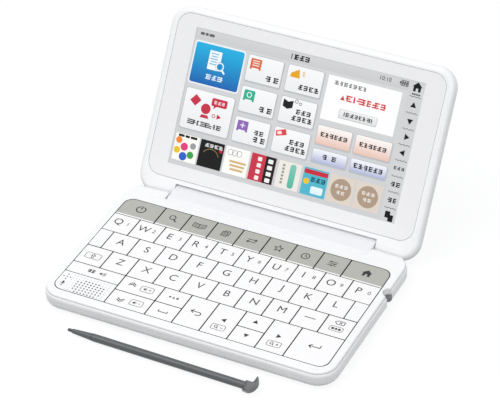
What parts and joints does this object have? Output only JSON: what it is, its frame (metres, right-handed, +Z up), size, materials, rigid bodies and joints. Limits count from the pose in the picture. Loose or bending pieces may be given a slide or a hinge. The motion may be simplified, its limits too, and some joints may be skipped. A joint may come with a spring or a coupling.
{
  "type": "electronic dictionary",
  "caption": "Pocket dictionary in two slim halves on a two-axis hinge block: a thumb keyboard below, a touch screen above, and a stylus beside it.",
  "frame": {"origin": "on the table, under the middle of the outline of the open dictionary and the stylus in front of it", "axes": "+X to the user's right along the hinge, +Y away from the user, +Z up"},
  "size_m": [0.151, 0.1678, 0.0827],
  "materials": {
    "case_white": "glossy moulded",
    "frame_white": "glossy moulded",
    "hinge_white": "glossy moulded",
    "bezel_white": "satin moulded",
    "key_white": "satin moulded",
    "key_grey": "satin moulded",
    "screen_glass": "lit picture behind a touch layer",
    "stylus_grey": "satin moulded",
    "shaft_steel": "ground",
    "foot_rubber": "moulded",
    "circuit": "solder mask",
    "battery_foil": "foil pouch"
  },
  "bodies": {
    "base": {"bottom_case": "case_white", "keyboard_frame": "frame_white", "main_board": "circuit", "battery_pack": "battery_foil", "feet": "foot_rubber"},
    "hinge": {"hinge_block": "hinge_white", "hinge_shafts": "shaft_steel"},
    "lid": {"lid_cover": "frame_white", "lid_bezel": "bezel_white", "display_panel": "screen_glass"},
    "stylus": {"stylus": "stylus_grey"},
    "key_power": {"key_power": "key_grey"},
    "key_home": {"key_home": "key_grey"},
    "key_menu_1": {"key_menu_1": "key_grey"},
    "key_menu_2": {"key_menu_2": "key_grey"},
    "key_menu_3": {"key_menu_3": "key_grey"},
    "key_menu_4": {"key_menu_4": "key_grey"},
    "key_menu_5": {"key_menu_5": "key_grey"},
    "key_menu_6": {"key_menu_6": "key_grey"},
    "key_menu_7": {"key_menu_7": "key_grey"},
    "key_q": {"key_q": "key_white"},
    "key_w": {"key_w": "key_white"},
    "key_e": {"key_e": "key_white"},
    "key_r": {"key_r": "key_white"},
    "key_t": {"key_t": "key_white"},
    "key_y": {"key_y": "key_white"},
    "key_u": {"key_u": "key_white"},
    "key_i": {"key_i": "key_white"},
    "key_o": {"key_o": "key_white"},
    "key_p": {"key_p": "key_white"},
    "key_a": {"key_a": "key_white"},
    "key_s": {"key_s": "key_white"},
    "key_d": {"key_d": "key_white"},
    "key_f": {"key_f": "key_white"},
    "key_g": {"key_g": "key_white"},
    "key_h": {"key_h": "key_white"},
    "key_j": {"key_j": "key_white"},
    "key_k": {"key_k": "key_white"},
    "key_l": {"key_l": "key_white"},
    "key_z": {"key_z": "key_white"},
    "key_x": {"key_x": "key_white"},
    "key_c": {"key_c": "key_white"},
    "key_v": {"key_v": "key_white"},
    "key_b": {"key_b": "key_white"},
    "key_n": {"key_n": "key_white"},
    "key_m": {"key_m": "key_white"},
    "key_shift": {"key_shift": "key_white"},
    "key_dash": {"key_dash": "key_white"},
    "key_delete": {"key_delete": "key_white"},
    "key_voice": {"key_voice": "key_white"},
    "key_page_up": {"key_page_up": "key_white"},
    "key_page_down": {"key_page_down": "key_white"},
    "key_symbol": {"key_symbol": "key_white"},
    "key_space": {"key_space": "key_white"},
    "key_back": {"key_back": "key_white"},
    "key_left": {"key_left": "key_white"},
    "key_up": {"key_up": "key_white"},
    "key_down": {"key_down": "key_white"},
    "key_right": {"key_right": "key_white"},
    "key_enter": {"key_enter": "key_white"}
  },
  "joints": [
    {"name": "base_hinge", "type": "hinge", "parent": "base", "child": "hinge", "pos_m": [0, 0.02366, 0.005], "axis": [-1, 0, 0], "range_deg": [-90, 90]},
    {"name": "lid_hinge", "type": "hinge", "parent": "hinge", "child": "lid", "pos_m": [0, 0.03261, 0.005], "axis": [-1, 0, 0], "range_deg": [-32.8, 147.2]},
    {"name": "stylus_lift", "type": "slide", "parent": "base", "child": "stylus", "axis": [0, 0, 1], "range_m": [0, 0.05]},
    {"name": "press_power", "type": "slide", "parent": "base", "child": "key_power", "axis": [0, 0, -1], "range_m": [0, 0.0007], "stiffness_N_per_m": 400, "springref_m": -0.0005},
    {"name": "press_home", "type": "slide", "parent": "base", "child": "key_home", "axis": [0, 0, -1], "range_m": [0, 0.0007], "stiffness_N_per_m": 400, "springref_m": -0.0005},
    {"name": "press_menu_1", "type": "slide", "parent": "base", "child": "key_menu_1", "axis": [0, 0, -1], "range_m": [0, 0.0007], "stiffness_N_per_m": 400, "springref_m": -0.0005},
    {"name": "press_menu_2", "type": "slide", "parent": "base", "child": "key_menu_2", "axis": [0, 0, -1], "range_m": [0, 0.0007], "stiffness_N_per_m": 400, "springref_m": -0.0005},
    {"name": "press_menu_3", "type": "slide", "parent": "base", "child": "key_menu_3", "axis": [0, 0, -1], "range_m": [0, 0.0007], "stiffness_N_per_m": 400, "springref_m": -0.0005},
    {"name": "press_menu_4", "type": "slide", "parent": "base", "child": "key_menu_4", "axis": [0, 0, -1], "range_m": [0, 0.0007], "stiffness_N_per_m": 400, "springref_m": -0.0005},
    {"name": "press_menu_5", "type": "slide", "parent": "base", "child": "key_menu_5", "axis": [0, 0, -1], "range_m": [0, 0.0007], "stiffness_N_per_m": 400, "springref_m": -0.0005},
    {"name": "press_menu_6", "type": "slide", "parent": "base", "child": "key_menu_6", "axis": [0, 0, -1], "range_m": [0, 0.0007], "stiffness_N_per_m": 400, "springref_m": -0.0005},
    {"name": "press_menu_7", "type": "slide", "parent": "base", "child": "key_menu_7", "axis": [0, 0, -1], "range_m": [0, 0.0007], "stiffness_N_per_m": 400, "springref_m": -0.0005},
    {"name": "press_q", "type": "slide", "parent": "base", "child": "key_q", "axis": [0, 0, -1], "range_m": [0, 0.0007], "stiffness_N_per_m": 400, "springref_m": -0.0005},
    {"name": "press_w", "type": "slide", "parent": "base", "child": "key_w", "axis": [0, 0, -1], "range_m": [0, 0.0007], "stiffness_N_per_m": 400, "springref_m": -0.0005},
    {"name": "press_e", "type": "slide", "parent": "base", "child": "key_e", "axis": [0, 0, -1], "range_m": [0, 0.0007], "stiffness_N_per_m": 400, "springref_m": -0.0005},
    {"name": "press_r", "type": "slide", "parent": "base", "child": "key_r", "axis": [0, 0, -1], "range_m": [0, 0.0007], "stiffness_N_per_m": 400, "springref_m": -0.0005},
    {"name": "press_t", "type": "slide", "parent": "base", "child": "key_t", "axis": [0, 0, -1], "range_m": [0, 0.0007], "stiffness_N_per_m": 400, "springref_m": -0.0005},
    {"name": "press_y", "type": "slide", "parent": "base", "child": "key_y", "axis": [0, 0, -1], "range_m": [0, 0.0007], "stiffness_N_per_m": 400, "springref_m": -0.0005},
    {"name": "press_u", "type": "slide", "parent": "base", "child": "key_u", "axis": [0, 0, -1], "range_m": [0, 0.0007], "stiffness_N_per_m": 400, "springref_m": -0.0005},
    {"name": "press_i", "type": "slide", "parent": "base", "child": "key_i", "axis": [0, 0, -1], "range_m": [0, 0.0007], "stiffness_N_per_m": 400, "springref_m": -0.0005},
    {"name": "press_o", "type": "slide", "parent": "base", "child": "key_o", "axis": [0, 0, -1], "range_m": [0, 0.0007], "stiffness_N_per_m": 400, "springref_m": -0.0005},
    {"name": "press_p", "type": "slide", "parent": "base", "child": "key_p", "axis": [0, 0, -1], "range_m": [0, 0.0007], "stiffness_N_per_m": 400, "springref_m": -0.0005},
    {"name": "press_a", "type": "slide", "parent": "base", "child": "key_a", "axis": [0, 0, -1], "range_m": [0, 0.0007], "stiffness_N_per_m": 400, "springref_m": -0.0005},
    {"name": "press_s", "type": "slide", "parent": "base", "child": "key_s", "axis": [0, 0, -1], "range_m": [0, 0.0007], "stiffness_N_per_m": 400, "springref_m": -0.0005},
    {"name": "press_d", "type": "slide", "parent": "base", "child": "key_d", "axis": [0, 0, -1], "range_m": [0, 0.0007], "stiffness_N_per_m": 400, "springref_m": -0.0005},
    {"name": "press_f", "type": "slide", "parent": "base", "child": "key_f", "axis": [0, 0, -1], "range_m": [0, 0.0007], "stiffness_N_per_m": 400, "springref_m": -0.0005},
    {"name": "press_g", "type": "slide", "parent": "base", "child": "key_g", "axis": [0, 0, -1], "range_m": [0, 0.0007], "stiffness_N_per_m": 400, "springref_m": -0.0005},
    {"name": "press_h", "type": "slide", "parent": "base", "child": "key_h", "axis": [0, 0, -1], "range_m": [0, 0.0007], "stiffness_N_per_m": 400, "springref_m": -0.0005},
    {"name": "press_j", "type": "slide", "parent": "base", "child": "key_j", "axis": [0, 0, -1], "range_m": [0, 0.0007], "stiffness_N_per_m": 400, "springref_m": -0.0005},
    {"name": "press_k", "type": "slide", "parent": "base", "child": "key_k", "axis": [0, 0, -1], "range_m": [0, 0.0007], "stiffness_N_per_m": 400, "springref_m": -0.0005},
    {"name": "press_l", "type": "slide", "parent": "base", "child": "key_l", "axis": [0, 0, -1], "range_m": [0, 0.0007], "stiffness_N_per_m": 400, "springref_m": -0.0005},
    {"name": "press_z", "type": "slide", "parent": "base", "child": "key_z", "axis": [0, 0, -1], "range_m": [0, 0.0007], "stiffness_N_per_m": 400, "springref_m": -0.0005},
    {"name": "press_x", "type": "slide", "parent": "base", "child": "key_x", "axis": [0, 0, -1], "range_m": [0, 0.0007], "stiffness_N_per_m": 400, "springref_m": -0.0005},
    {"name": "press_c", "type": "slide", "parent": "base", "child": "key_c", "axis": [0, 0, -1], "range_m": [0, 0.0007], "stiffness_N_per_m": 400, "springref_m": -0.0005},
    {"name": "press_v", "type": "slide", "parent": "base", "child": "key_v", "axis": [0, 0, -1], "range_m": [0, 0.0007], "stiffness_N_per_m": 400, "springref_m": -0.0005},
    {"name": "press_b", "type": "slide", "parent": "base", "child": "key_b", "axis": [0, 0, -1], "range_m": [0, 0.0007], "stiffness_N_per_m": 400, "springref_m": -0.0005},
    {"name": "press_n", "type": "slide", "parent": "base", "child": "key_n", "axis": [0, 0, -1], "range_m": [0, 0.0007], "stiffness_N_per_m": 400, "springref_m": -0.0005},
    {"name": "press_m", "type": "slide", "parent": "base", "child": "key_m", "axis": [0, 0, -1], "range_m": [0, 0.0007], "stiffness_N_per_m": 400, "springref_m": -0.0005},
    {"name": "press_shift", "type": "slide", "parent": "base", "child": "key_shift", "axis": [0, 0, -1], "range_m": [0, 0.0007], "stiffness_N_per_m": 400, "springref_m": -0.0005},
    {"name": "press_dash", "type": "slide", "parent": "base", "child": "key_dash", "axis": [0, 0, -1], "range_m": [0, 0.0007], "stiffness_N_per_m": 400, "springref_m": -0.0005},
    {"name": "press_delete", "type": "slide", "parent": "base", "child": "key_delete", "axis": [0, 0, -1], "range_m": [0, 0.0007], "stiffness_N_per_m": 400, "springref_m": -0.0005},
    {"name": "press_voice", "type": "slide", "parent": "base", "child": "key_voice", "axis": [0, 0, -1], "range_m": [0, 0.0007], "stiffness_N_per_m": 400, "springref_m": -0.0005},
    {"name": "press_page_up", "type": "slide", "parent": "base", "child": "key_page_up", "axis": [0, 0, -1], "range_m": [0, 0.0007], "stiffness_N_per_m": 400, "springref_m": -0.0005},
    {"name": "press_page_down", "type": "slide", "parent": "base", "child": "key_page_down", "axis": [0, 0, -1], "range_m": [0, 0.0007], "stiffness_N_per_m": 400, "springref_m": -0.0005},
    {"name": "press_symbol", "type": "slide", "parent": "base", "child": "key_symbol", "axis": [0, 0, -1], "range_m": [0, 0.0007], "stiffness_N_per_m": 400, "springref_m": -0.0005},
    {"name": "press_space", "type": "slide", "parent": "base", "child": "key_space", "axis": [0, 0, -1], "range_m": [0, 0.0007], "stiffness_N_per_m": 400, "springref_m": -0.0005},
    {"name": "press_back", "type": "slide", "parent": "base", "child": "key_back", "axis": [0, 0, -1], "range_m": [0, 0.0007], "stiffness_N_per_m": 400, "springref_m": -0.0005},
    {"name": "press_left", "type": "slide", "parent": "base", "child": "key_left", "axis": [0, 0, -1], "range_m": [0, 0.0007], "stiffness_N_per_m": 400, "springref_m": -0.0005},
    {"name": "press_up", "type": "slide", "parent": "base", "child": "key_up", "axis": [0, 0, -1], "range_m": [0, 0.0007], "stiffness_N_per_m": 400, "springref_m": -0.0005},
    {"name": "press_down", "type": "slide", "parent": "base", "child": "key_down", "axis": [0, 0, -1], "range_m": [0, 0.0007], "stiffness_N_per_m": 400, "springref_m": -0.0005},
    {"name": "press_right", "type": "slide", "parent": "base", "child": "key_right", "axis": [0, 0, -1], "range_m": [0, 0.0007], "stiffness_N_per_m": 400, "springref_m": -0.0005},
    {"name": "press_enter", "type": "slide", "parent": "base", "child": "key_enter", "axis": [0, 0, -1], "range_m": [0, 0.0007], "stiffness_N_per_m": 400, "springref_m": -0.0005}
  ]
}
